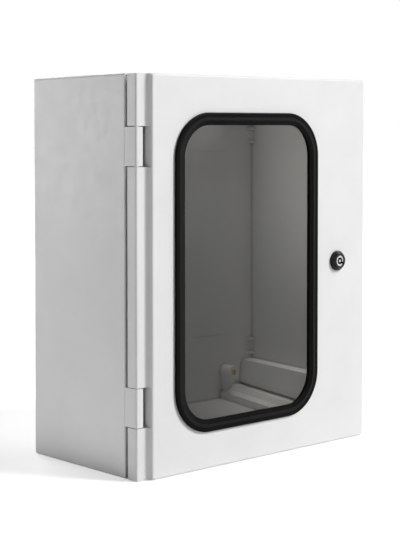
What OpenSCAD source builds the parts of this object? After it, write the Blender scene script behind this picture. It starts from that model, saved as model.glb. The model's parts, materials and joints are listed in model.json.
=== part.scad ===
// Polyester wall enclosure with a glazed, hinged door and a quarter-turn lock.
// Frame: +X to the right seen from the front, the door faces -Y, +Z up.
// Origin: centre of the footprint, level with the lower edge. Sizes in millimetres.

/* [Enclosure] */
// Overall width, across the hinge bar and the door
enclosure_w = 410; // [380:1:460]
// Overall height
enclosure_h = 500; // [460:1:560]
// Depth from the face of the door to the back
enclosure_d = 220; // [190:1:260]
// Radius of the outer corners, seen from the front
corner_r = 4; // [3.5:0.5:6]

/* [Body] */
// Wall thickness of the moulded body
wall_t = 4; // [3:0.1:4.5]
// How far each side and the top draw in at the back
draft = 2.3; // [0.5:0.1:4]
// Edge radius round the front rim of the body
rim_edge = 1.6; // [0.8:0.1:2]
// Edge radius round the back of the body
back_edge = 2.8; // [1:0.1:3]
// Width of the bead beside the gutter on the hinge side
bead_w = 2.2; // [2:0.1:3]
// Width of the gutter behind the hinge bar
gutter_w = 6.5; // [5:0.1:6.5]
// Depth of the gutter behind the hinge bar
gutter_d = 3; // [2:0.1:4]
// Thickness of the collar lip that presses into the door seal
lip_t = 3.5; // [2.5:0.1:4]
// How far the collar lip stands forward of the rim
lip_h = 16.3; // [15:0.1:17]
// Height of the sloped floor at the back
floor_z = 32.5; // [30:0.1:34]
// Fall of the floor towards the door, in degrees
floor_fall = 5.2; // [3:0.1:5.4]
// Width of the lower floor step
lower_step_w = 21.5; // [18:0.5:24]
// Rise of the lower floor step
lower_step_rise = 10.3; // [8:0.1:12]
// Width of the upper floor step, with the slanted riser in front of it
upper_step_w = 23.7; // [22:0.1:26]
// Rise of the upper floor step
upper_step_rise = 6.3; // [5:0.1:8]
// Run of the slanted riser
riser_run = 5.5; // [3:0.1:7]
// Height of the groove between the upper step and the rail
groove_h = 4; // [3:0.1:5]
// Height of the rail at the foot of the ledge
rail_h = 2.4; // [1.5:0.1:3]
// How far the rail stands out from the edge of the ledge
rail_out = 5.7; // [5:0.1:7]
// Height of the side ledge at the back
ledge_z = 85.2; // [82:0.1:90]
// Fall of the side ledge towards the door, in degrees
ledge_fall = 2.2; // [1:0.1:3]
// Width of the side ledge
ledge_w = 21.5; // [20:0.5:24]
// How far the face of the ledge leans out at the foot
ledge_lean = 4.7; // [2:0.1:5]
// Step of the raised middle of the back wall
pad_t = 1.5; // [0.5:0.1:2.5]

/* [Fixings] */
// Diameter of the bosses at the back
boss_d = 19.5; // [17:0.5:22]
// Length of the bosses in front of the back wall
boss_l = 22; // [20:0.5:30]
// Distance of the bosses from the sides
boss_from_side = 65; // [56:0.5:70]
// Height of the lower bosses
boss_low_z = 72; // [66:0.5:80]
// Distance of the upper bosses from the top
boss_from_top = 48; // [40:0.5:60]
// Outer diameter of the plate inserts
plate_insert_d = 9; // [8:0.1:10]
// Thread bore of the plate inserts
plate_bore_d = 5; // [4:0.1:6]
// Outer diameter of the wall bracket inserts
wall_insert_d = 11; // [10:0.1:12]
// Thread bore of the wall bracket inserts
wall_bore_d = 6.8; // [5:0.1:7.5]
// Length of the inserts
insert_l = 12; // [8:0.5:12]

/* [Door] */
// Depth of the door from its face to its rear rim
door_d = 24.8; // [22:0.1:26]
// Gap between the rear rim of the door and the body
door_gap = 5.5; // [4:0.1:6]
// Gap that keeps the door inside the body height, at each end
door_end_gap = 1; // [0.5:0.1:2]
// Thickness of the door sheet and its rim
door_t = 3.5; // [3:0.1:4]
// Edge radius round the face of the door
door_edge = 2.5; // [1:0.1:3]
// Depth of the side wall behind the hinge bar, short so that the door swings clear of the collar
hinge_side_d = 13; // [12.5:0.1:14]
// Width of the seal channel
channel_w = 9; // [8:0.1:10]
// Thickness of the inner channel rib
channel_rib_t = 2.5; // [2:0.1:3]
// Gap between the collar lip and the resting seal
seal_gap = 0.3; // [0.2:0.05:0.5]

/* [Hinge] */
// Width of the hinge bar beside the raised panel
bar_w = 18.5; // [17:0.1:21]
// Setback of the hinge bar behind the face of the door
bar_setback = 8.2; // [7.6:0.1:8.8]
// Radius of the cove between the bar and the panel
cove_r = 5.5; // [3:0.1:6]
// Slant of the panel side above the cove, in degrees
side_slant = 22; // [10:1:25]
// Radius of the outer edge of the bar
bar_edge_r = 2.5; // [1:0.1:3.5]
// Distance of the hinge blocks from the ends of the enclosure
hinge_from_end = 90; // [70:1:110]
// Height of a hinge block
block_h = 48; // [40:0.5:60]
// Width of the knuckle of a hinge block
block_w = 10.5; // [10:0.1:11]
// Width of the base of a hinge block
block_base_w = 16.5; // [15:0.1:16.5]
// Depth of the base of a hinge block
block_base_d = 10.4; // [9:0.1:10.5]
// Gap above and below a hinge block
notch_gap = 1; // [0.5:0.1:2]
// Diameter of a hinge pin
pin_d = 5; // [4:0.1:6]
// Pin axis from the outer side of the bar
pin_from_side = 5.5; // [5:0.1:6]
// Pin axis behind the face of the bar
pin_from_bar_face = 5.5; // [5:0.1:6]
// How far a pin reaches into the bar at each end
pin_hold = 13; // [10:0.5:16]
// Thickness of the ribs behind the bar
bar_rib_t = 3; // [2:0.1:4]
// Shank diameter of a hinge screw
hinge_screw_d = 4; // [3:0.1:4.5]
// Head diameter of a hinge screw
hinge_screw_head_d = 7.6; // [6:0.1:8]
// Head height of a hinge screw
hinge_screw_head_h = 2.8; // [2:0.1:3.5]
// Hinge screw spacing in a block
hinge_screw_pitch = 28; // [20:0.5:34]
// Hinge screw axis from the outer side of the body
hinge_screw_from_side = 10.5; // [9.5:0.1:11.5]
// Length of a hinge screw in its block
hinge_screw_grip = 10; // [7:0.1:10.2]

/* [Window] */
// Margin between the panel edge on the hinge side and the window profile
window_margin_hinge = 36; // [25:0.5:50]
// Margin between the panel edge on the lock side and the window profile
window_margin_lock = 97.5; // [90:0.5:120]
// Margin between the ends of the door and the window profile
window_margin_end = 47; // [35:0.5:60]
// Corner radius of the window profile at its outer edge
window_r = 57; // [45:0.5:65]
// Face width of the window profile
profile_w = 16; // [15:0.1:17.5]
// How far the window profile stands proud of the sheet
profile_proud = 4; // [3:0.1:5]
// Width of the web between the sheet and the pane
web_w = 3; // [2.5:0.1:4]
// How far the sheet and the pane reach into the profile
bite = 6.3; // [5:0.1:6.4]
// Setback of the inner lip behind the pane from the one in front of it
rear_lip = 3.5; // [2:0.1:4]
// Thickness of the pane
pane_t = 4; // [3:0.1:5]
// Width of the locking strip
strip_w = 3.6; // [3:0.1:4.5]
// Depth of the locking strip
strip_h = 2.6; // [2:0.1:2.8]

/* [Lock] */
// How far the lock head stands proud of the door
lock_proud = 7; // [6:0.1:9]
// Diameter of the lock head
lock_head_d = 27; // [26:0.1:32]
// Diameter of the flat face of the lock head
lock_face_d = 20; // [18:0.1:24]
// Lock axis from the edge of the door
lock_from_edge = 56.5; // [54:0.5:60]
// Diameter of the lock barrel
barrel_d = 22; // [21:0.1:23]
// Width of the barrel across its flats
barrel_flats = 20; // [19.4:0.1:20.5]
// Diameter of the key insert at its face
insert_face_d = 14.5; // [14:0.1:17]
// Depth of the front bore of the housing behind the door face
insert_seat = 12; // [9:0.1:16]
// Diameter of the shaft of the key insert
insert_shaft_d = 11.4; // [11.2:0.1:12]
// Setback of the key insert behind the lock face
insert_setback = 0.8; // [0.2:0.1:1.5]
// Diameter of the key recess
key_d = 9.6; // [9:0.1:10.5]
// Depth of the key recess
key_depth = 9; // [6:0.1:10]
// Diameter of the key pin
key_pin_d = 3.8; // [2.5:0.1:4]
// Width of the key notch
key_notch_w = 3; // [2:0.1:3.5]
// Direction of the key notch, in degrees above the horizontal
key_notch_angle = -30; // [-60:1:60]
// Thickness of the lock seal
lock_seal_t = 1; // [0.5:0.1:1.5]
// Width of the lock nut across its flats
nut_flats = 27; // [26:0.1:30]
// Thickness of the lock nut
nut_t = 6; // [4:0.1:8]
// Length of the cam from the lock axis to its tip
cam_l = 50.5; // [48:0.1:51]
// Width of the cam
cam_w = 16; // [14:0.1:18]
// Thickness of the cam
cam_t = 3; // [2:0.1:4]
// Gap between the latched cam and the rim that it catches
cam_gap = 0.8; // [0.5:0.1:1.5]
// Width of the square end of the key insert
drive_w = 7.6; // [7:0.1:7.8]
// Diameter of the cam screw
cam_screw_d = 5; // [4:0.1:5.5]
// Length of the cam screw below its head
cam_screw_l = 14; // [11:0.5:16]
// Width of the cam screw head across its flats
cam_screw_flats = 8; // [7:0.1:10]
// Height of the cam screw head
cam_screw_head_h = 3.5; // [3:0.1:5]
// Diameter of the cam washer
washer_d = 14; // [12:0.1:16]
// Thickness of the cam washer
washer_t = 1.2; // [0.8:0.1:2]
// Section diameter of the seal ring on the key insert
ring_d = 1.8; // [1.5:0.1:2]

/* [Hidden] */
$fn = 64;
// Overshoot of a cut past the face that it opens
over = 1;
// Radial clearance of a turning fit, and of a slip fit between fixed pieces
run_gap = 0.05;
slip_gap = 0.05;
// Radial room for a screwdriver round a screw head
head_gap = 0.6;
// Thickness of the slices that span the drafted forms
slice = 0.05;

// Places along X
left_x = -enclosure_w / 2;
right_x = enclosure_w / 2;
panel_x0 = left_x + bar_w;
panel_x1 = right_x;
panel_w = panel_x1 - panel_x0;
panel_mid_x = (panel_x0 + panel_x1) / 2;
pin_x = left_x + pin_from_side;
ledge_x = right_x - wall_t - draft - ledge_w;
upper_step_x = ledge_x - upper_step_w;
lower_step_x = upper_step_x - lower_step_w;
lock_x = panel_x1 - lock_from_edge;

// Places along Y, counted from the face of the door
face_y = (lock_proud - enclosure_d) / 2;
rim_y = door_d + door_gap;
flange_y = rim_y + wall_t;
hinge_seat_y = flange_y + gutter_d;
back_y = enclosure_d - wall_t;
pin_y = bar_setback + pin_from_bar_face;
seal_y = rim_y - lip_h - seal_gap;
rib_y = rim_y - lip_h + lip_t / 2;
boss_y = back_y - boss_l;
cam_y = flange_y + cam_gap;
barrel_y = cam_y - run_gap;
screw_tip_y = cam_y + cam_t + washer_t - cam_screw_l;

// Places along Z
door_z0 = door_end_gap;
door_z1 = enclosure_h - door_end_gap;
door_h = door_z1 - door_z0;
mid_z = enclosure_h / 2;
lock_z = mid_z;
upper_tread = lower_step_rise + upper_step_rise;
rail_low = upper_tread + groove_h;
hinge_zs = [enclosure_h - hinge_from_end, hinge_from_end];
boss_zs = [boss_low_z, enclosure_h - boss_from_top];
boss_xs = [left_x + boss_from_side, right_x - boss_from_side];

// Collar lip, centred on the seal channel
lip_inset = door_t + (channel_w - lip_t) / 2;
rib_inset = door_t + channel_w;

// Window profile, measured at its inner edge
window_mid_x = (panel_x0 + window_margin_hinge + panel_x1 - window_margin_lock) / 2;
sight_w = panel_w - window_margin_hinge - window_margin_lock - 2 * profile_w;
sight_h = door_h - 2 * window_margin_end - 2 * profile_w;
sight_r = window_r - profile_w;
web_p = (profile_w - web_w) / 2;
pane_reach = bite;
sheet_reach = profile_w - bite;
pane_q1 = (pane_t - door_t) / 2;

// Finishes
polyester = "#e9e9e6";
rubber_black = "#1d1d1f";
seal_grey = "#55575a";
steel = "#b9bcc0";
brass = "#c39a4a";
smoked = "#8a938c";

// Shared shapes

// Moves a piece from the door-face frame into the frame of the part
module placed() {
    translate([0, face_y, 0]) children();
}

// Extrudes a front-view outline between two depths
module along_y(y0, y1) {
    translate([0, y1, 0]) rotate([90, 0, 0]) linear_extrude(y1 - y0) children();
}

// Front-view rectangle with round corners
module rounded_rect(x0, z0, x1, z1, r) {
    translate([x0 + r, z0]) square([x1 - x0 - 2 * r, z1 - z0]);
    translate([x0, z0 + r]) square([x1 - x0, z1 - z0 - 2 * r]);
    for (x = [x0 + r, x1 - r], z = [z0 + r, z1 - r])
        translate([x, z]) circle(r);
}

// Outline of the raised panel, drawn in by an inset
module panel_outline(inset, r) {
    rounded_rect(panel_x0 + inset, door_z0 + inset, panel_x1 - inset, door_z1 - inset, r);
}

// Outline of the body, drawn in at the sides and the top, and at the bottom
module body_outline(inset, bottom, r = corner_r) {
    rounded_rect(left_x + inset, bottom, right_x - inset, enclosure_h - inset, r);
}

// Outline of a window part, grown outwards from the sight line
module window_outline(grow) {
    translate([window_mid_x, mid_z])
        rounded_rect(-sight_w / 2 - grow, -sight_h / 2 - grow,
                     sight_w / 2 + grow, sight_h / 2 + grow, sight_r + grow);
}

// Sweeps a section round a rectangle with round corners: x outwards, y towards +Z
module swept_ring(w, h, r) {
    for (i = [0 : 3]) {
        run = (i % 2 == 0 ? w : h) - 2 * r;
        reach = (i % 2 == 0 ? h : w) / 2;
        rotate([0, 0, 90 * i]) {
            translate([-run / 2, reach, 0]) rotate([90, 0, 90]) linear_extrude(run) children();
            translate([run / 2, reach - r, 0])
                rotate_extrude(angle = 90) translate([r, 0]) children();
        }
    }
}

// Places a ring or a turned piece so that its +Z points out of the door
module facing_front(x, z) {
    translate([x, 0, z]) rotate([90, 0, 0]) children();
}

// Cylinder along Y between two depths
module rod_y(x, z, d, y0, y1) {
    translate([x, y1, z]) rotate([90, 0, 0]) cylinder(d = d, h = y1 - y0);
}

// Hexagon across its flats
module hexagon(flats) {
    circle(d = flats / cos(30), $fn = 6);
}

// Body

// Runs a section of the floor from the back towards the door, with a fall
module along_fall(z, fall) {
    translate([0, enclosure_d, z]) rotate([fall, 0, 0])
        along_y(-2 * enclosure_d, enclosure_d) children();
}

// Right half of the stepped floor, drawn in by a wall for its underside
module floor_section(inset) {
    polygon([
        [-over, -enclosure_h], [-over, -inset], [lower_step_x + inset, -inset],
        [lower_step_x + inset, lower_step_rise - inset], [upper_step_x + inset, lower_step_rise - inset],
        [upper_step_x + riser_run + inset, upper_tread - inset],
        [right_x, upper_tread - inset], [right_x, -enclosure_h]
    ]);
}

// Right ledge with its leaning face
module ledge_section() {
    lean_h = ledge_z - floor_z - rail_low - rail_h;
    polygon([
        [ledge_x - ledge_lean, -enclosure_h], [ledge_x - ledge_lean, -lean_h],
        [ledge_x, 0], [right_x, 0], [right_x, -enclosure_h]
    ]);
}

// Floor, ledges and rails as a solid that fills the bottom of the cavity
module stepped_floor() {
    for (side = [0, 1]) mirror([side, 0, 0]) {
        along_fall(floor_z, floor_fall) {
            floor_section(0);
            translate([ledge_x - rail_out, rail_low]) square([rail_out + over, rail_h]);
        }
        difference() {
            along_fall(ledge_z, ledge_fall) ledge_section();
            along_fall(floor_z, floor_fall) translate([ledge_x - rail_out, upper_tread])
                square([rail_out, groove_h]);
        }
    }
}

// Outer form with round edges at the rim and at the back
module body_outer() {
    hull() for (a = [0 : 22.5 : 90]) {
        rim_in = rim_edge * (1 - sin(a));
        front = rim_y + rim_edge * (1 - cos(a));
        back_in = back_edge * (1 - sin(a));
        back = enclosure_d - back_edge * (1 - cos(a));
        along_y(front, front + slice) body_outline(rim_in, rim_in, corner_r - rim_in, $fn = 32);
        along_y(back - slice, back)
            body_outline(draft + back_in, back_in, corner_r - back_in, $fn = 32);
    }
}

module body_cavity() {
    difference() {
        hull() {
            along_y(flange_y, flange_y + slice) body_outline(wall_t, wall_t, $fn = 32);
            along_y(back_y - slice, back_y) body_outline(wall_t + draft, wall_t, $fn = 32);
        }
        stepped_floor();
    }
}

// Hollow below the floor, open at the bottom
module underside() {
    intersection() {
        for (side = [0, 1]) mirror([side, 0, 0]) {
            along_fall(floor_z, floor_fall) floor_section(wall_t);
            along_fall(ledge_z, ledge_fall) translate([ledge_x + wall_t, -enclosure_h])
                square([ledge_w, enclosure_h - wall_t]);
        }
        translate([left_x + wall_t + draft, flange_y + wall_t, -over])
            cube([enclosure_w - 2 * (wall_t + draft), back_y - flange_y - wall_t, enclosure_h]);
    }
}

// Raised middle of the back wall, narrow between two wide ends
module back_pad() {
    waist_w = 75;
    waist_low_w = 81;
    end_w = 141;
    waist_z0 = 126;
    waist_z1 = enclosure_h - 101;
    foot_z = floor_z - wall_t / 2;
    for (side = [0, 1]) mirror([side, 0, 0]) along_y(back_y - pad_t, back_y + over) polygon([
        [-over, foot_z], [lower_step_x + over, foot_z],
        [lower_step_x + over, foot_z + lower_step_rise], [end_w + over, foot_z + lower_step_rise],
        [end_w, waist_z0], [waist_low_w, waist_z0], [waist_w, waist_z1], [end_w, waist_z1],
        [end_w, enclosure_h - wall_t], [-over, enclosure_h - wall_t]
    ]);
}

// Three-cornered plate in a rear corner of the right wall
module gusset(w, depth, z0, z1) {
    translate([right_x - wall_t - draft, back_y, z0]) linear_extrude(z1 - z0)
        polygon([[over, over], [over, -depth], [0, -depth], [-w, 0], [-w, over]]);
}

// Pocketed gussets in the rear corners, each with a plate above and below its pocket
module corner_gussets() {
    gusset_w = 14;
    gusset_d = 7;
    core_w = 6;
    core_d = 3;
    plate_t = 4;
    pocket_h = 16;
    gusset_h = pocket_h + 2 * plate_t;
    gusset_from_ledge = 7;
    gusset_from_top = 91;
    for (side = [0, 1], z = [ledge_z + gusset_from_ledge, enclosure_h - gusset_from_top])
        mirror([side, 0, 0]) {
            gusset(gusset_w, gusset_d, z, z + plate_t);
            gusset(core_w, core_d, z, z + gusset_h);
            gusset(gusset_w, gusset_d, z + gusset_h - plate_t, z + gusset_h);
        }
}

// Gutter along the hinge side of the rim, behind the hinge bar
module gutter() {
    along_y(rim_y - over, rim_y + gutter_d) translate([left_x + bead_w, bead_w])
        square([gutter_w, enclosure_h - 2 * bead_w]);
}

// Strip that backs the gutter and carries the heads of the hinge screws
module hinge_strip() {
    along_y(flange_y - over, hinge_seat_y) translate([left_x + wall_t - over, wall_t - over])
        square([block_base_w, enclosure_h - 2 * wall_t + 2 * over]);
}

module body_shell() {
    color(polyester) placed() difference() {
        union() {
            difference() {
                body_outer();
                body_cavity();
                underside();
            }
            along_y(rim_y - lip_h, flange_y)
                panel_outline(lip_inset, corner_r);
            hinge_strip();
            back_pad();
            corner_gussets();
            for (x = boss_xs, z = boss_zs) rod_y(x, z, boss_d, boss_y, back_y + over);
        }
        gutter();
        along_y(rim_y - lip_h - over, flange_y + over)
            panel_outline(lip_inset + lip_t, corner_r);
        for (x = boss_xs, z = boss_zs) {
            rod_y(x, z, plate_insert_d + 2 * slip_gap, boss_y - over, boss_y + insert_l);
            rod_y(x, z, wall_insert_d + 2 * slip_gap, enclosure_d - insert_l, enclosure_d + over);
        }
        for (z = hinge_zs, dz = [-1, 1] * hinge_screw_pitch / 2) {
            x = left_x + hinge_screw_from_side;
            rod_y(x, z + dz, hinge_screw_d + 2 * slip_gap, rim_y - over, hinge_seat_y + over);
            rod_y(x, z + dz, hinge_screw_head_d + 2 * head_gap, hinge_seat_y, hinge_seat_y + wall_t + over);
        }
    }
}

// Fixings of the body

module threaded_insert(x, z, d, bore, y0) {
    difference() {
        rod_y(x, z, d, y0, y0 + insert_l);
        rod_y(x, z, bore, y0 - over, y0 + insert_l + over);
    }
}

module plate_inserts() {
    color(brass) placed() for (x = boss_xs, z = boss_zs)
        threaded_insert(x, z, plate_insert_d, plate_bore_d, boss_y);
}

module wall_inserts() {
    color(brass) placed() for (x = boss_xs, z = boss_zs)
        threaded_insert(x, z, wall_insert_d, wall_bore_d, enclosure_d - insert_l);
}

// Hinge

// Plan of the hinge bar or a knuckle: a rectangle with one or two round front corners
module bar_plan(w, depth) {
    difference() {
        translate([left_x, bar_setback]) square([w, depth]);
        translate([left_x, bar_setback]) square(bar_edge_r);
    }
    translate([left_x + bar_edge_r, bar_setback + bar_edge_r]) circle(bar_edge_r);
}

module hinge_block(z) {
    color(polyester) placed() difference() {
        translate([0, 0, z - block_h / 2]) linear_extrude(block_h) {
            bar_plan(block_w, rim_y - bar_setback);
            translate([left_x, rim_y - block_base_d]) square([block_base_w, block_base_d]);
        }
        translate([pin_x, pin_y, z - block_h / 2 - over])
            cylinder(d = pin_d + 2 * run_gap, h = block_h + 2 * over);
        for (dz = [-1, 1] * hinge_screw_pitch / 2)
            rod_y(left_x + hinge_screw_from_side, z + dz, hinge_screw_d + 2 * slip_gap,
                  rim_y - hinge_screw_grip - slip_gap, rim_y + over);
    }
}

module upper_hinge_block() {
    hinge_block(hinge_zs[0]);
}

module lower_hinge_block() {
    hinge_block(hinge_zs[1]);
}

module hinge_screws() {
    color(steel) placed() for (z = hinge_zs, dz = [-1, 1] * hinge_screw_pitch / 2) {
        x = left_x + hinge_screw_from_side;
        rod_y(x, z + dz, hinge_screw_d, rim_y - hinge_screw_grip, hinge_seat_y + over);
        rod_y(x, z + dz, hinge_screw_head_d, hinge_seat_y, hinge_seat_y + hinge_screw_head_h);
    }
}

module hinge_pin(z) {
    pin_l = block_h + 2 * notch_gap + 2 * pin_hold;
    color(steel) placed() translate([pin_x, pin_y, z - pin_l / 2]) cylinder(d = pin_d, h = pin_l);
}

module upper_hinge_pin() {
    hinge_pin(hinge_zs[0]);
}

module lower_hinge_pin() {
    hinge_pin(hinge_zs[1]);
}

// Door

// Hollow raised panel with its rim and the channel for the seal
module raised_panel() {
    difference() {
        hull() {
            for (a = [0 : 22.5 : 90]) {
                inset = door_edge * (1 - sin(a));
                y = door_edge * (1 - cos(a));
                along_y(y, y + slice) panel_outline(inset, corner_r - inset, $fn = 32);
            }
            along_y(door_edge, door_d) panel_outline(0, corner_r, $fn = 32);
        }
        along_y(door_t, door_d + over) panel_outline(door_t, corner_r);
        translate([panel_x0 - over, hinge_side_d, door_z0 + door_t])
            cube([door_t + 2 * over, door_d, door_h - 2 * door_t]);
    }
    along_y(door_t - over, rib_y) difference() {
        panel_outline(rib_inset, corner_r);
        panel_outline(rib_inset + channel_rib_t, corner_r);
    }
}

// Plan of the slanted panel side and the cove at its foot
module cove_plan() {
    cove_y = bar_setback - cove_r;
    foot_y = cove_y + cove_r * sin(side_slant);
    foot_x = panel_x0 - (foot_y - door_edge) * tan(side_slant);
    cove_x = foot_x - cove_r * cos(side_slant);
    difference() {
        polygon([
            [panel_x0 + over, door_edge], [panel_x0, door_edge], [foot_x, foot_y],
            [cove_x, bar_setback], [cove_x, bar_setback + over], [panel_x0 + over, bar_setback + over]
        ]);
        translate([cove_x, cove_y]) circle(cove_r);
    }
}

// Hollow hinge bar with ribs, and a solid stretch at each end of a notch for the pins
module hinge_bar() {
    inner_w = bar_w - door_t;
    rib_pitch = 30;
    hold_l = pin_hold + door_t;
    notch_h = block_h + 2 * notch_gap;
    difference() {
        translate([0, 0, door_z0]) linear_extrude(door_h) bar_plan(bar_w + over, door_d - bar_setback);
        translate([left_x + door_t, bar_setback + door_t, door_z0 + door_t])
            cube([inner_w + 2 * over, door_d, door_h - 2 * door_t]);
    }
    for (z = [mid_z - 3 * rib_pitch : rib_pitch : mid_z + 3 * rib_pitch])
        translate([left_x + over, bar_setback + over, z - bar_rib_t / 2])
            cube([bar_w, door_d - bar_setback - door_t, bar_rib_t]);
    for (z = hinge_zs, side = [0, 1]) translate([0, 0, z]) mirror([0, 0, side])
        translate([left_x + over, bar_setback + over, notch_h / 2])
            cube([bar_w, door_d - bar_setback - over, hold_l]);
    translate([0, 0, door_z0]) linear_extrude(door_h) cove_plan();
}

module door_panel() {
    notch_h = block_h + 2 * notch_gap;
    color(polyester) placed() difference() {
        union() {
            raised_panel();
            hinge_bar();
        }
        for (z = hinge_zs) {
            translate([left_x - over, -over, z - notch_h / 2])
                cube([bar_w + over, door_d + 2 * over, notch_h]);
            translate([pin_x, pin_y, z - notch_h / 2 - pin_hold - slip_gap])
                cylinder(d = pin_d + 2 * slip_gap, h = notch_h + 2 * (pin_hold + slip_gap));
        }
        along_y(-over, door_t + over) window_outline(sheet_reach + slip_gap);
        along_y(-over, door_t + over) barrel_outline(slip_gap);
    }
}

module door_seal() {
    color(seal_grey) placed() along_y(door_t, seal_y) difference() {
        panel_outline(door_t + slip_gap, corner_r);
        panel_outline(rib_inset - slip_gap, corner_r);
    }
}

// Window

module window_pane() {
    color(smoked, 0.5) placed() along_y(-pane_q1, pane_t - pane_q1)
        window_outline(pane_reach - slip_gap);
}

// One side of the rubber section: round lobe on the sheet, bevelled lip on the pane from a setback
module profile_lobe(setback) {
    lobe_r = profile_proud / 2;
    bevel_h = 2;
    translate([web_p, 0]) square([profile_w - lobe_r - web_p, profile_proud]);
    translate([profile_w - lobe_r, lobe_r]) circle(lobe_r);
    polygon([[setback, pane_q1], [setback, pane_q1 + bevel_h], [web_p, profile_proud],
             [web_p + web_w, profile_proud], [web_p + web_w, pane_q1]]);
}

// Groove in the front of the profile, centred on its web
module strip_section(clearance) {
    lip_w = 0.5;
    foot = profile_proud - strip_h - clearance;
    translate([profile_w / 2 - strip_w / 2 - clearance, foot])
        square([strip_w + 2 * clearance, strip_h + 2 * clearance]);
    translate([profile_w / 2 - strip_w / 2 - lip_w - clearance, foot])
        square([strip_w + 2 * (lip_w + clearance), strip_h / 2 + 2 * clearance]);
}

module profile_section() {
    difference() {
        union() {
            profile_lobe(0);
            translate([0, -door_t]) mirror([0, 1]) profile_lobe(rear_lip);
            translate([web_p, -door_t - over]) square([web_w, door_t + 2 * over]);
        }
        strip_section(slip_gap);
    }
}

module window_gasket() {
    seam_w = 0.4;
    seam_depth = 1;
    color(rubber_black) placed() facing_front(window_mid_x, mid_z) difference() {
        swept_ring(sight_w, sight_h, sight_r) profile_section();
        translate([-seam_w / 2, sight_h / 2 - over, profile_proud - seam_depth])
            cube([seam_w, profile_w + 2 * over, seam_depth + over]);
    }
}

module gasket_locking_strip() {
    color(rubber_black) placed() facing_front(window_mid_x, mid_z)
        swept_ring(sight_w, sight_h, sight_r) strip_section(0);
}

// Lock

// Round barrel with two flats, grown by a clearance
module barrel_outline(grow) {
    translate([lock_x, lock_z]) intersection() {
        circle(d = barrel_d + 2 * grow);
        square([2 * barrel_d, barrel_flats + 2 * grow], center = true);
    }
}

// Turned lock head: a short rim, then a slope to the flat face
module lock_head() {
    rim_h = 2;
    facing_front(lock_x, lock_z) rotate_extrude() polygon([
        [0, lock_seal_t], [lock_head_d / 2, lock_seal_t], [lock_head_d / 2, lock_seal_t + rim_h],
        [lock_face_d / 2, lock_proud], [0, lock_proud]
    ]);
}

module lock_housing() {
    color(rubber_black) placed() difference() {
        union() {
            lock_head();
            along_y(-lock_seal_t - over, barrel_y) barrel_outline(0);
        }
        rod_y(lock_x, lock_z, insert_face_d + 2 * run_gap, -lock_proud - over, insert_seat);
        rod_y(lock_x, lock_z, insert_shaft_d + 2 * run_gap, 0, barrel_y + over);
    }
}

module lock_seal() {
    color(rubber_black) placed() along_y(-lock_seal_t, 0) difference() {
        translate([lock_x, lock_z]) circle(d = lock_head_d);
        barrel_outline(slip_gap);
    }
}

module lock_nut() {
    color(steel) placed() difference() {
        along_y(door_t, door_t + nut_t) translate([lock_x, lock_z]) hexagon(nut_flats);
        rod_y(lock_x, lock_z, barrel_d + 2 * slip_gap, door_t - over, door_t + nut_t + over);
    }
}

// Groove of the seal ring, halfway along the wide part of the key insert
ring_y = insert_seat - 2 * ring_d;

module lock_insert() {
    front_y = -lock_proud + insert_setback;
    color(steel) placed() difference() {
        union() {
            rod_y(lock_x, lock_z, insert_face_d, front_y, insert_seat - run_gap);
            rod_y(lock_x, lock_z, insert_shaft_d, 0, cam_y);
            along_y(cam_y - over, cam_y + cam_t - run_gap) translate([lock_x, lock_z])
                square(drive_w, center = true);
        }
        difference() {
            rod_y(lock_x, lock_z, key_d, front_y - over, front_y + key_depth);
            rod_y(lock_x, lock_z, key_pin_d, front_y, front_y + key_depth + over);
        }
        translate([lock_x, front_y, lock_z]) rotate([0, -key_notch_angle, 0])
            translate([key_pin_d, -over, -key_notch_w / 2])
                cube([insert_face_d, key_depth / 2 + over, key_notch_w]);
        difference() {
            rod_y(lock_x, lock_z, insert_face_d + over, ring_y, ring_y + ring_d + 2 * slip_gap);
            rod_y(lock_x, lock_z, insert_face_d - 2 * ring_d, ring_y - over, insert_seat);
        }
        rod_y(lock_x, lock_z, cam_screw_d + 2 * slip_gap, screw_tip_y - slip_gap,
              cam_y + cam_t + over);
    }
}

module insert_seal_ring() {
    color(rubber_black) placed() translate([0, ring_y + slip_gap + ring_d, 0])
        facing_front(lock_x, lock_z) rotate_extrude()
            translate([insert_face_d / 2 - ring_d / 2, ring_d / 2]) circle(d = ring_d - 2 * slip_gap);
}

// Cam, pointing up when the lock is open
module lock_cam() {
    tail = 10;
    color(steel) placed() difference() {
        union() {
            along_y(cam_y, cam_y + cam_t) translate([lock_x - cam_w / 2, lock_z - tail])
                square([cam_w, tail + cam_l - cam_w / 2]);
            rod_y(lock_x, lock_z + cam_l - cam_w / 2, cam_w, cam_y, cam_y + cam_t);
        }
        along_y(cam_y - over, cam_y + cam_t + over) translate([lock_x, lock_z])
            square(drive_w + 2 * slip_gap, center = true);
    }
}

module cam_washer() {
    y0 = cam_y + cam_t;
    color(steel) placed() difference() {
        rod_y(lock_x, lock_z, washer_d, y0, y0 + washer_t);
        rod_y(lock_x, lock_z, cam_screw_d + 2 * slip_gap, y0 - over, y0 + washer_t + over);
    }
}

module cam_screw() {
    y0 = cam_y + cam_t + washer_t;
    color(steel) placed() {
        rod_y(lock_x, lock_z, cam_screw_d, screw_tip_y, y0 + over);
        along_y(y0, y0 + cam_screw_head_h) translate([lock_x, lock_z]) hexagon(cam_screw_flats);
    }
}

body_shell();
plate_inserts();
wall_inserts();
upper_hinge_block();
lower_hinge_block();
hinge_screws();
door_panel();
door_seal();
window_pane();
window_gasket();
gasket_locking_strip();
upper_hinge_pin();
lower_hinge_pin();
lock_housing();
lock_seal();
lock_nut();
lock_insert();
insert_seal_ring();
lock_cam();
cam_washer();
cam_screw();
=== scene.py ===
"""Looks of the polyester enclosure: materials, light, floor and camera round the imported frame."""
import json
import math

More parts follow.
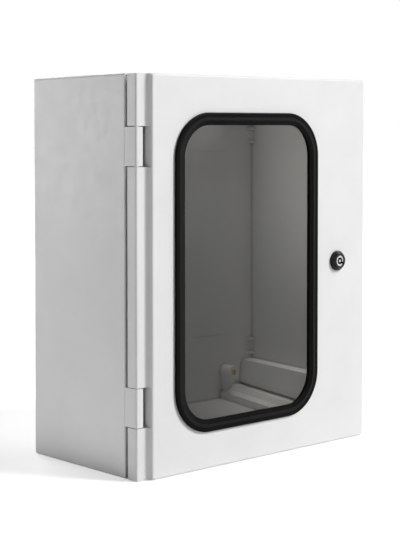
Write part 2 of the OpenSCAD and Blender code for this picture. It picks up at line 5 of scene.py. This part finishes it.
import bmesh
import bpy
from mathutils import Euler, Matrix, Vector


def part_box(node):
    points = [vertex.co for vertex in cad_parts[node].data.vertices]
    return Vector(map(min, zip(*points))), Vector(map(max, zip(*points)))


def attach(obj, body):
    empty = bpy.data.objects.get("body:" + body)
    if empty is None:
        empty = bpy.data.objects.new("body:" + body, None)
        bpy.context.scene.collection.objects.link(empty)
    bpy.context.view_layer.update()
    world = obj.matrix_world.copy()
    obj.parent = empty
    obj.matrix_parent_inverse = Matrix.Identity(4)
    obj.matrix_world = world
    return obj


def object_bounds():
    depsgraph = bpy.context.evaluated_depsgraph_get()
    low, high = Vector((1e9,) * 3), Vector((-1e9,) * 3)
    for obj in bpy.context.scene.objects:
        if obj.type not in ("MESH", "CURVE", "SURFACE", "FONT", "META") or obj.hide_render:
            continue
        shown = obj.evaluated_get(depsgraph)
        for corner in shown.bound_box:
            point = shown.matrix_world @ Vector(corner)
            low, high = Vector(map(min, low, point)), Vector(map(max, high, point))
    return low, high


# Lengths are in metres, as in the frame, unless they are multiplied by MM
MM = 0.001

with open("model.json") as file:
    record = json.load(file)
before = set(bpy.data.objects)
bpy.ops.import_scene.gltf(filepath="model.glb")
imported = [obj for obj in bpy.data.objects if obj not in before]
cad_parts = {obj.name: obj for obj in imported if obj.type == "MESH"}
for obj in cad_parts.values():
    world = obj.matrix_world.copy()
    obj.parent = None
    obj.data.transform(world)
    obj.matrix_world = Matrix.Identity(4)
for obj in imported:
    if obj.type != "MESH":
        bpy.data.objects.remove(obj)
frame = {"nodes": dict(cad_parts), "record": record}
NODES = frame["nodes"]
CAD_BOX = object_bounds()


# Node helpers

# Stops between which a noise texture has most of its values
NOISE_LOW = 0.3
NOISE_HIGH = 0.7


def new_material(name):
    """Returns an empty node material and its node tree."""
    material = bpy.data.materials.new(name)
    material.use_nodes = True
    material.node_tree.nodes.clear()
    return material, material.node_tree


def add(tree, kind, **settings):
    """Adds a shader node and sets its properties, or its inputs where the name is an input's."""
    node = tree.nodes.new(kind)
    for key, value in settings.items():
        if key in node.inputs:
            node.inputs[key].default_value = value
        else:
            setattr(node, key, value)
    return node


def link(tree, source, output, target, inlet):
    """Joins an output of one node to an input of another."""
    tree.links.new(source.outputs[output], target.inputs[inlet])


def principled(tree, **settings):
    """Adds the surface shader and the output."""
    shader = add(tree, "ShaderNodeBsdfPrincipled", **settings)
    output = add(tree, "ShaderNodeOutputMaterial")
    link(tree, shader, "BSDF", output, "Surface")
    return shader


def set_gloss(shader, level):
    """Sets how strongly a surface that isn't metal mirrors, where 0.5 is usual."""
    shader.inputs["Specular IOR Level"].default_value = level


def object_coordinates(tree, scale=(1.0, 1.0, 1.0)):
    """Adds the object's own coordinates, stretched by a scale."""
    place = add(tree, "ShaderNodeTexCoord")
    mapping = add(tree, "ShaderNodeMapping", Scale=scale)
    link(tree, place, "Object", mapping, "Vector")
    return mapping


def noise(tree, vector, scale, detail):
    """Adds a noise texture, its scale in features per metre."""
    texture = add(tree, "ShaderNodeTexNoise", Scale=scale, Detail=detail, Roughness=0.55)
    link(tree, vector, "Vector", texture, "Vector")
    return texture


def ramp(tree, source, output, colour_low, colour_high, low=NOISE_LOW, high=NOISE_HIGH):
    """Maps a factor between two stops to two colours."""
    node = add(tree, "ShaderNodeValToRGB")
    node.color_ramp.elements[0].position = low
    node.color_ramp.elements[0].color = colour_low
    node.color_ramp.elements[1].position = high
    node.color_ramp.elements[1].color = colour_high
    link(tree, source, output, node, "Fac")
    return node


def grey(value):
    """Returns an opaque grey."""
    return (value, value, value, 1.0)


def bump(tree, source, output, strength, distance, previous=None):
    """Adds relief from a height, on top of an earlier relief where one is given."""
    node = add(tree, "ShaderNodeBump", Strength=strength, Distance=distance)
    link(tree, source, output, node, "Height")
    if previous is not None:
        link(tree, previous, "Normal", node, "Normal")
    return node


def painted_crease_shade(tree, colour, reach, darkest):
    """Paints shade into a colour in the hollows and along the inner edges of a piece, from ambient
    occlusion.
    """
    hollow = add(tree, "ShaderNodeAmbientOcclusion", samples=8, only_local=True, Distance=reach)
    shade = ramp(tree, hollow, "AO", grey(darkest), grey(1.0), low=0.3, high=0.95)
    mixed = add(tree, "ShaderNodeMixRGB", blend_type="MULTIPLY", Fac=1.0)
    link(tree, colour, "Color", mixed, "Color1")
    link(tree, shade, "Color", mixed, "Color2")
    return mixed


# Materials

def make_polyester():
    """Light grey glass-fibre polyester: faint mottling, painted shade in the creases, fine moulded texture,
    satin sheen.
    """
    material, tree = new_material("polyester")
    shader = principled(tree)
    place = object_coordinates(tree)
    clouds = noise(tree, place, scale=14.0, detail=4.0)
    mottling = ramp(tree, clouds, "Fac", grey(0.775), grey(0.815))
    # Painted shade: the polyester colour is darkened in its creases and hollows
    colour = painted_crease_shade(tree, mottling, reach=6 * MM, darkest=0.6)
    link(tree, colour, "Color", shader, "Base Color")
    sheen = noise(tree, place, scale=60.0, detail=2.0)
    roughness = ramp(tree, sheen, "Fac", grey(0.38), grey(0.5))
    link(tree, roughness, "Color", shader, "Roughness")
    upright = object_coordinates(tree, scale=(1.0, 1.0, 0.35))
    fibre = noise(tree, upright, scale=420.0, detail=2.0)
    peel = noise(tree, place, scale=150.0, detail=2.0)
    first = bump(tree, fibre, "Fac", strength=0.12, distance=0.15 * MM)
    second = bump(tree, peel, "Fac", strength=0.12, distance=0.4 * MM, previous=first)
    link(tree, second, "Normal", shader, "Normal")
    return material


def make_rubber(name, colour, gloss, roughness_low, roughness_high):
    """Dull extruded rubber with a dusty bloom."""
    bloom_gain = 1.7
    material, tree = new_material(name)
    shader = principled(tree)
    set_gloss(shader, gloss)
    place = object_coordinates(tree)
    bloom = noise(tree, place, scale=35.0, detail=5.0)
    tint = ramp(tree, bloom, "Fac", grey(colour), grey(colour * bloom_gain), low=0.35, high=0.75)
    link(tree, tint, "Color", shader, "Base Color")
    roughness = ramp(tree, bloom, "Fac", grey(roughness_low), grey(roughness_high))
    link(tree, roughness, "Color", shader, "Roughness")
    grain = noise(tree, place, scale=900.0, detail=2.0)
    relief = bump(tree, grain, "Fac", strength=0.15, distance=0.1 * MM)
    link(tree, relief, "Normal", shader, "Normal")
    return material


def make_foam():
    """Foamed seal with a porous skin."""
    material, tree = new_material("seal_foam")
    shader = principled(tree, Roughness=0.85)
    place = object_coordinates(tree)
    pores = add(tree, "ShaderNodeTexVoronoi", Scale=900.0)
    link(tree, place, "Vector", pores, "Vector")
    colour = ramp(tree, pores, "Distance", grey(0.035), grey(0.075), low=0.0, high=0.6)
    link(tree, colour, "Color", shader, "Base Color")
    relief = bump(tree, pores, "Distance", strength=0.35, distance=0.3 * MM)
    link(tree, relief, "Normal", shader, "Normal")
    return material


def make_metal(name, dark, light, roughness_low, roughness_high):
    """Turned or plated metal with fine streaks along Y."""
    material, tree = new_material(name)
    shader = principled(tree, Metallic=1.0)
    cloud = noise(tree, object_coordinates(tree), scale=90.0, detail=3.0)
    colour = ramp(tree, cloud, "Fac", dark, light)
    link(tree, colour, "Color", shader, "Base Color")
    streaks = object_coordinates(tree, scale=(1.0, 0.1, 1.0))
    lines = noise(tree, streaks, scale=300.0, detail=2.0)
    roughness = ramp(tree, lines, "Fac", grey(roughness_low), grey(roughness_high))
    link(tree, roughness, "Color", shader, "Roughness")
    relief = bump(tree, lines, "Fac", strength=0.1, distance=0.05 * MM)
    link(tree, relief, "Normal", shader, "Normal")
    return material


def make_key_steel():
    """Bright turned face of the key insert, with painted shade that turns it near black deeper inside the
    key recess behind it.
    """
    face_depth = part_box("lock_insert")[0].y
    bright_to = face_depth + 0.4 * MM
    painted_shade_from = face_depth + 1.6 * MM
    bright = (0.46, 0.46, 0.45, 1.0)
    dark = grey(0.012)
    material, tree = new_material("key_steel")
    shader = principled(tree, Metallic=1.0)
    place = add(tree, "ShaderNodeTexCoord")
    axes = add(tree, "ShaderNodeSeparateXYZ")
    link(tree, place, "Object", axes, "Vector")
    # Painted shade: the steel colour fades to near black with depth into the key recess
    depth = add(tree, "ShaderNodeMapRange")
    depth.inputs["From Min"].default_value = bright_to
    depth.inputs["From Max"].default_value = painted_shade_from
    link(tree, axes, "Y", depth, "Value")
    colour = ramp(tree, depth, "Result", bright, dark, low=0.0, high=1.0)
    link(tree, colour, "Color", shader, "Base Color")
    streaks = object_coordinates(tree, scale=(1.0, 0.1, 1.0))
    rings = noise(tree, streaks, scale=700.0, detail=2.0)
    roughness = ramp(tree, rings, "Fac", grey(0.2), grey(0.36))
    link(tree, roughness, "Color", shader, "Roughness")
    relief = bump(tree, rings, "Fac", strength=0.1, distance=0.04 * MM)
    link(tree, relief, "Normal", shader, "Normal")
    return material


def make_lock_black():
    """Black satin coating of the lock, with a fine texture."""
    material, tree = new_material("lock_black")
    shader = principled(tree)
    set_gloss(shader, 0.2)
    place = object_coordinates(tree)
    cloud = noise(tree, place, scale=180.0, detail=3.0)
    colour = ramp(tree, cloud, "Fac", grey(0.002), grey(0.005))
    link(tree, colour, "Color", shader, "Base Color")
    roughness = ramp(tree, cloud, "Fac", grey(0.24), grey(0.34))
    link(tree, roughness, "Color", shader, "Roughness")
    grain = noise(tree, place, scale=1600.0, detail=1.0)
    relief = bump(tree, grain, "Fac", strength=0.08, distance=0.05 * MM)
    link(tree, relief, "Normal", shader, "Normal")
    return material


def make_glass():
    """Clear pane with a faint warm-grey tint and a few dull smears, which mirrors little."""
    tint_low = (0.018, 0.019, 0.016, 1.0)
    tint_high = (0.026, 0.027, 0.022, 1.0)
    material, tree = new_material("pane_glass")
    shader = principled(tree, Alpha=0.31, IOR=1.5)
    set_gloss(shader, 0.2)
    place = object_coordinates(tree)
    film = noise(tree, place, scale=6.0, detail=3.0)
    colour = ramp(tree, film, "Fac", tint_low, tint_high)
    link(tree, colour, "Color", shader, "Base Color")
    roughness = ramp(tree, film, "Fac", grey(0.03), grey(0.08), high=0.8)
    link(tree, roughness, "Color", shader, "Roughness")
    return material


STEEL_DARK = (0.62, 0.63, 0.65, 1.0)
STEEL_LIGHT = (0.78, 0.79, 0.8, 1.0)
BRASS_DARK = (0.6, 0.42, 0.16, 1.0)
BRASS_LIGHT = (0.78, 0.58, 0.26, 1.0)

POLYESTER = make_polyester()
RUBBER = make_rubber("black_rubber", colour=0.0015, gloss=0.05, roughness_low=0.28, roughness_high=0.42)
STRIP_RUBBER = make_rubber("strip_rubber", colour=0.004, gloss=0.11, roughness_low=0.32, roughness_high=0.45)
FOAM = make_foam()
STEEL = make_metal("plated_steel", STEEL_DARK, STEEL_LIGHT, roughness_low=0.22, roughness_high=0.4)
BRASS = make_metal("brass", BRASS_DARK, BRASS_LIGHT, roughness_low=0.25, roughness_high=0.42)
KEY_STEEL = make_key_steel()
LOCK_BLACK = make_lock_black()
GLASS = make_glass()

FINISHES = {
    "polyester": POLYESTER,
    "black_rubber": RUBBER,
    "seal_foam": FOAM,
    "plated_steel": STEEL,
    "brass": BRASS,
    "lock_black": LOCK_BLACK,
    "pane_glass": GLASS,
}
for part in frame["record"]["subparts"]:
    mesh = NODES[part["node"]].data
    mesh.materials.clear()
    mesh.materials.append(FINISHES[part["material_slot"]])
NODES["lock_insert"].data.materials[0] = KEY_STEEL
NODES["gasket_locking_strip"].data.materials[0] = STRIP_RUBBER


# Webs under the lower plate bosses, which the body's solid leaves out, in mm

BOSS_X = 140.0
WEB_BACK = 109.8
# Height, half width and front edge of each section, from the boss axis down into the step
WEB_SECTIONS = (
    (73.0, 9.3, 89.0),
    (62.0, 7.4, 91.0),
    (52.0, 5.0, 95.5),
    (42.4, 2.6, 100.5),
)
WEB_EDGE = 0.9


def web_corners(half, front):
    """Returns the corners of one section in X and Y, its two front corners cut off."""
    nose = half / 2
    shoulder = front + half / 3
    return (
        (-half, WEB_BACK), (-half, shoulder), (-nose, front),
        (nose, front), (half, shoulder), (half, WEB_BACK),
    )


def make_boss_webs():
    """Builds a tapered web between each lower boss and the step of the floor under it."""
    mesh = bpy.data.meshes.new("plate_boss_webs")
    shape = bmesh.new()
    for side in (-1, 1):
        rings = []
        for height, half, front in WEB_SECTIONS:
            points = [Vector((side * BOSS_X + x, y, height)) * MM for x, y in web_corners(half, front)]
            rings.append([shape.verts.new(point) for point in points])
        for upper, lower in zip(rings, rings[1:]):
            for index in range(len(upper)):
                after = (index + 1) % len(upper)
                shape.faces.new((upper[index], upper[after], lower[after], lower[index]))
        shape.faces.new(rings[0])
        shape.faces.new(rings[-1])
    bmesh.ops.recalc_face_normals(shape, faces=shape.faces)
    shape.to_mesh(mesh)
    shape.free()
    webs = bpy.data.objects.new("plate_boss_webs", mesh)
    bpy.context.scene.collection.objects.link(webs)
    rounding = webs.modifiers.new("rounding", "BEVEL")
    rounding.width = WEB_EDGE * MM
    rounding.segments = 3
    mesh.materials.append(POLYESTER)
    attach(webs, "body")


make_boss_webs()


# Floor, backdrop and light

LOW, HIGH = CAD_BOX
CENTRE = (LOW + HIGH) / 2

FLOOR_SIZE = 40.0
FLOOR_GREY = 0.86

# Lamps round the enclosure: place, point it faces, width and height in metres, power in watts
LAMPS = (
    ("front right high", (4.5, -6.5, 5.8), CENTRE, (3.0, 3.0), 830.0),
    ("front left high", (-1.5, -1.8, 1.8), CENTRE, (1.2, 1.2), 0.6),
    ("top right", (2.0, -0.4, 2.5), CENTRE, (0.5, 0.5), 11.0),
    ("rear left", (-1.8, 1.5, 0.6), CENTRE, (1.0, 1.0), 1.2),
    ("near rear left", (-0.72, 0.75, 0.6), (0.0, 0.0, 0.4), (0.2, 0.7), 2.4),
    ("rear", (0.8, 3.0, 1.6), CENTRE, (1.6, 1.6), 50.0),
)
# Weak lamp that lies on the floor and faces up, as a white card on the left does
LEFT_CARD = ("left card", (-0.37, 0.05, 0.004), (-0.37, 0.05, 1.0), (0.27, 0.26), 0.1)
# Lamps inside the body, given as those above, and the angle of the beam in degrees
ROOF_LAMP_Z = 0.487
INSIDE_LAMPS = (
    ("inside rear", (0.0, 0.05, ROOF_LAMP_Z), (0.0, 0.05, 0.0), (0.3, 0.05), 0.052, 180),
    ("inside right", (0.168, 0.0, ROOF_LAMP_Z), (0.168, 0.0, 0.0), (0.05, 0.17), 0.043, 36),
    ("inside left", (-0.17, -0.05, 0.36), (0.2, -0.05, 0.36), (0.03, 0.24), 0.038, 50),
)
INSIDE_COLOUR = (1.0, 0.96, 0.91)


def seen_directly(tree):
    """Adds a factor that is 1 for camera, glossy and transmission rays, and 0 for rays that carry light."""
    path = add(tree, "ShaderNodeLightPath")
    mirrored = add(tree, "ShaderNodeMath", operation="MAXIMUM")
    link(tree, path, "Is Glossy Ray", mirrored, 0)
    link(tree, path, "Is Transmission Ray", mirrored, 1)
    seen = add(tree, "ShaderNodeMath", operation="MAXIMUM")
    link(tree, path, "Is Camera Ray", seen, 0)
    link(tree, mirrored, "Value", seen, 1)
    return seen


def make_floor():
    """Wide white floor that keeps the shadow of the enclosure, and is whiter to the camera further out."""
    veil_near = 0.45
    veil_far = 0.97
    near = 0.7
    far = 3.0
    bpy.ops.mesh.primitive_plane_add(size=FLOOR_SIZE, location=(0.0, 0.0, LOW.z))
    floor = bpy.context.object
    floor.name = "floor"
    material, tree = new_material("floor_white")
    cloth = add(tree, "ShaderNodeBsdfDiffuse")
    cloth.inputs["Color"].default_value = grey(FLOOR_GREY)
    place = add(tree, "ShaderNodeTexCoord")
    reach = add(tree, "ShaderNodeVectorMath", operation="LENGTH")
    link(tree, place, "Object", reach, 0)
    veil = add(tree, "ShaderNodeMapRange", interpolation_type="SMOOTHSTEP")
    veil.inputs["From Min"].default_value = near
    veil.inputs["From Max"].default_value = far
    veil.inputs["To Min"].default_value = veil_near
    veil.inputs["To Max"].default_value = veil_far
    link(tree, reach, "Value", veil, "Value")
    strength = add(tree, "ShaderNodeMath", operation="MULTIPLY")
    link(tree, seen_directly(tree), "Value", strength, 0)
    link(tree, veil, "Result", strength, 1)
    glow = add(tree, "ShaderNodeEmission")
    glow.inputs["Color"].default_value = grey(1.0)
    link(tree, strength, "Value", glow, "Strength")
    both = add(tree, "ShaderNodeAddShader")
    link(tree, cloth, "BSDF", both, 0)
    link(tree, glow, "Emission", both, 1)
    output = add(tree, "ShaderNodeOutputMaterial")
    link(tree, both, "Shader", output, "Surface")
    floor.data.materials.append(material)


def make_world():
    """White to the camera and in reflections, dimmer as a light."""
    sky_light = 0.07
    sky_seen = 1.0
    world = bpy.data.worlds.new("studio")
    bpy.context.scene.world = world
    world.use_nodes = True
    tree = world.node_tree
    tree.nodes.clear()
    strength = add(tree, "ShaderNodeMapRange")
    strength.inputs["To Min"].default_value = sky_light
    strength.inputs["To Max"].default_value = sky_seen
    link(tree, seen_directly(tree), "Value", strength, "Value")
    background = add(tree, "ShaderNodeBackground")
    background.inputs["Color"].default_value = grey(1.0)
    link(tree, strength, "Result", background, "Strength")
    output = add(tree, "ShaderNodeOutputWorld")
    link(tree, background, "Background", output, "Surface")


def area_light(name, place, aim, size, power):
    """Adds a soft lamp, width and height given, that faces a point."""
    data = bpy.data.lights.new(name, "AREA")
    data.shape = "RECTANGLE"
    data.size, data.size_y = size
    data.energy = power
    lamp = bpy.data.objects.new(name, data)
    lamp.location = place
    lamp.rotation_euler = (Vector(aim) - Vector(place)).to_track_quat("-Z", "Y").to_euler()
    bpy.context.scene.collection.objects.link(lamp)
    return lamp


def make_lights():
    """Main light from the front right, with weaker ones round it."""
    for lamp in LAMPS:
        area_light(*lamp)
    card = area_light(*LEFT_CARD)
    card.visible_camera = False


def make_inside_lights():
    """Weak light inside the body, for what its thin moulded walls let through. No lamp is seen itself."""
    for *settings, spread in INSIDE_LAMPS:
        lamp = area_light(*settings)
        lamp.data.spread = math.radians(spread)
        lamp.data.color = INSIDE_COLOUR
        lamp.visible_camera = False
        lamp.visible_glossy = False


make_floor()
make_world()
make_lights()
make_inside_lights()


# Camera, fitted to the edges of the enclosure in the photograph

IMAGE_W = 400
IMAGE_H = 551
SENSOR = 36.0
FOCAL_PX = 1452.2
PRINCIPAL_ROW = 176.13
CAMERA_PLACE = Vector((-1341.4, -1442.0, 435.7)) * MM
# Degrees to the right of +Y, and below the horizon
CAMERA_YAW = 42.741
CAMERA_PITCH = 2.0


def make_camera():
    """Adds the camera, its focal length and shift given in pixels of the photograph."""
    data = bpy.data.cameras.new("camera")
    data.sensor_fit = "AUTO"
    data.sensor_width = SENSOR
    data.lens = FOCAL_PX * SENSOR / max(IMAGE_W, IMAGE_H)
    data.shift_y = (PRINCIPAL_ROW - IMAGE_H / 2) / max(IMAGE_W, IMAGE_H)
    camera = bpy.data.objects.new("camera", data)
    camera.location = CAMERA_PLACE
    camera.rotation_euler = Euler((math.radians(90 - CAMERA_PITCH), 0.0, -math.radians(CAMERA_YAW)))
    bpy.context.scene.collection.objects.link(camera)
    bpy.context.scene.camera = camera


make_camera()
bpy.context.scene.view_settings.view_transform = "Standard"
